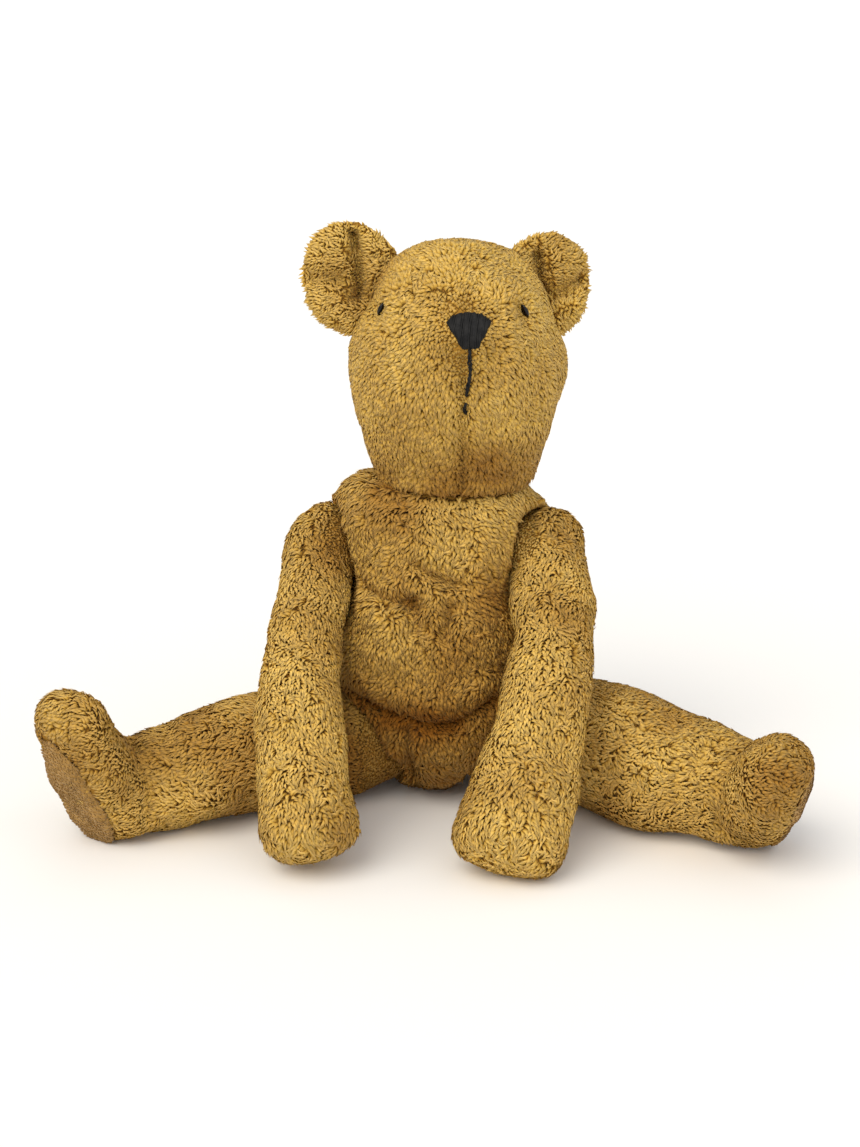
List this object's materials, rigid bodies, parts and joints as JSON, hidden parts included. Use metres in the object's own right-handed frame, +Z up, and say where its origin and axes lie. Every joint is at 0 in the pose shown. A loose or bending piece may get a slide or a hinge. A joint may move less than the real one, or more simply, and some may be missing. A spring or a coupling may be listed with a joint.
{
  "type": "jointed teddy bear",
  "caption": "Seated golden-brown plush teddy bear with turning head and swinging arms and legs on disc joints, stitched nose and mouth, small eyes and knit soles.",
  "frame": {"origin": "the middle of the flat patch under the body that the bear sits on", "axes": "+Z up, -Y the way the bear faces, +X to the bear's left"},
  "size_m": [0.3947, 0.2076, 0.3121],
  "materials": {
    "plush": "short curly cotton pile, golden brown",
    "sole_knit": "close brushed knit, browner than the pile",
    "wool_filling": "loose sheep's wool",
    "black_thread": "black embroidery thread in satin stitch",
    "eye_bead": "small glossy dark bead",
    "hardboard": "pressed brown fibreboard",
    "zinc_steel": "bright zinc plated"
  },
  "bodies": {
    "torso": {"torso_skin": "plush", "torso_stuffing": "wool_filling", "neck_disc_body": "hardboard", "neck_washer_body": "zinc_steel", "neck_bolt": "zinc_steel", "neck_lock_nut": "zinc_steel", "right_shoulder_disc_body": "hardboard", "right_shoulder_washer_body": "zinc_steel", "right_shoulder_bolt": "zinc_steel", "right_shoulder_lock_nut": "zinc_steel", "right_hip_disc_body": "hardboard", "right_hip_washer_body": "zinc_steel", "right_hip_bolt": "zinc_steel", "right_hip_lock_nut": "zinc_steel", "left_shoulder_disc_body": "hardboard", "left_shoulder_washer_body": "zinc_steel", "left_shoulder_bolt": "zinc_steel", "left_shoulder_lock_nut": "zinc_steel", "left_hip_disc_body": "hardboard", "left_hip_washer_body": "zinc_steel", "left_hip_bolt": "zinc_steel", "left_hip_lock_nut": "zinc_steel"},
    "head": {"head_skin": "plush", "head_stuffing": "wool_filling", "right_ear": "plush", "left_ear": "plush", "nose": "black_thread", "mouth_stitch": "black_thread", "right_eye": "eye_bead", "left_eye": "eye_bead", "neck_disc_inner": "hardboard", "neck_washer_inner": "zinc_steel"},
    "right_arm": {"right_arm_skin": "plush", "right_arm_stuffing": "wool_filling", "right_shoulder_disc_inner": "hardboard", "right_shoulder_washer_inner": "zinc_steel"},
    "right_leg": {"right_leg_skin": "plush", "right_leg_stuffing": "wool_filling", "right_hip_disc_inner": "hardboard", "right_hip_washer_inner": "zinc_steel", "right_sole": "sole_knit"},
    "left_arm": {"left_arm_skin": "plush", "left_arm_stuffing": "wool_filling", "left_shoulder_disc_inner": "hardboard", "left_shoulder_washer_inner": "zinc_steel"},
    "left_leg": {"left_leg_skin": "plush", "left_leg_stuffing": "wool_filling", "left_hip_disc_inner": "hardboard", "left_hip_washer_inner": "zinc_steel", "left_sole": "sole_knit"}
  },
  "joints": [
    {"name": "neck_turn", "type": "hinge", "parent": "torso", "child": "head", "pos_m": [0.011, 0, 0.173], "axis": [0, 0, 1], "continuous": true},
    {"name": "right_arm_swing", "type": "hinge", "parent": "torso", "child": "right_arm", "pos_m": [-0.06, -0.006, 0.137], "axis": [-0.934, 0.155, -0.322], "range_deg": [0, 65]},
    {"name": "left_arm_swing", "type": "hinge", "parent": "torso", "child": "left_arm", "pos_m": [0.062, -0.006, 0.138], "axis": [-0.934, -0.155, 0.322], "range_deg": [0, 65]},
    {"name": "right_leg_swing", "type": "hinge", "parent": "torso", "child": "right_leg", "pos_m": [-0.038, -0.027, 0.031], "axis": [0.8853, -0.3288, 0.3288], "range_deg": [0, 80]},
    {"name": "left_leg_swing", "type": "hinge", "parent": "torso", "child": "left_leg", "pos_m": [0.038, -0.008, 0.031], "axis": [0.8853, 0.3288, -0.3288], "range_deg": [0, 80]}
  ]
}
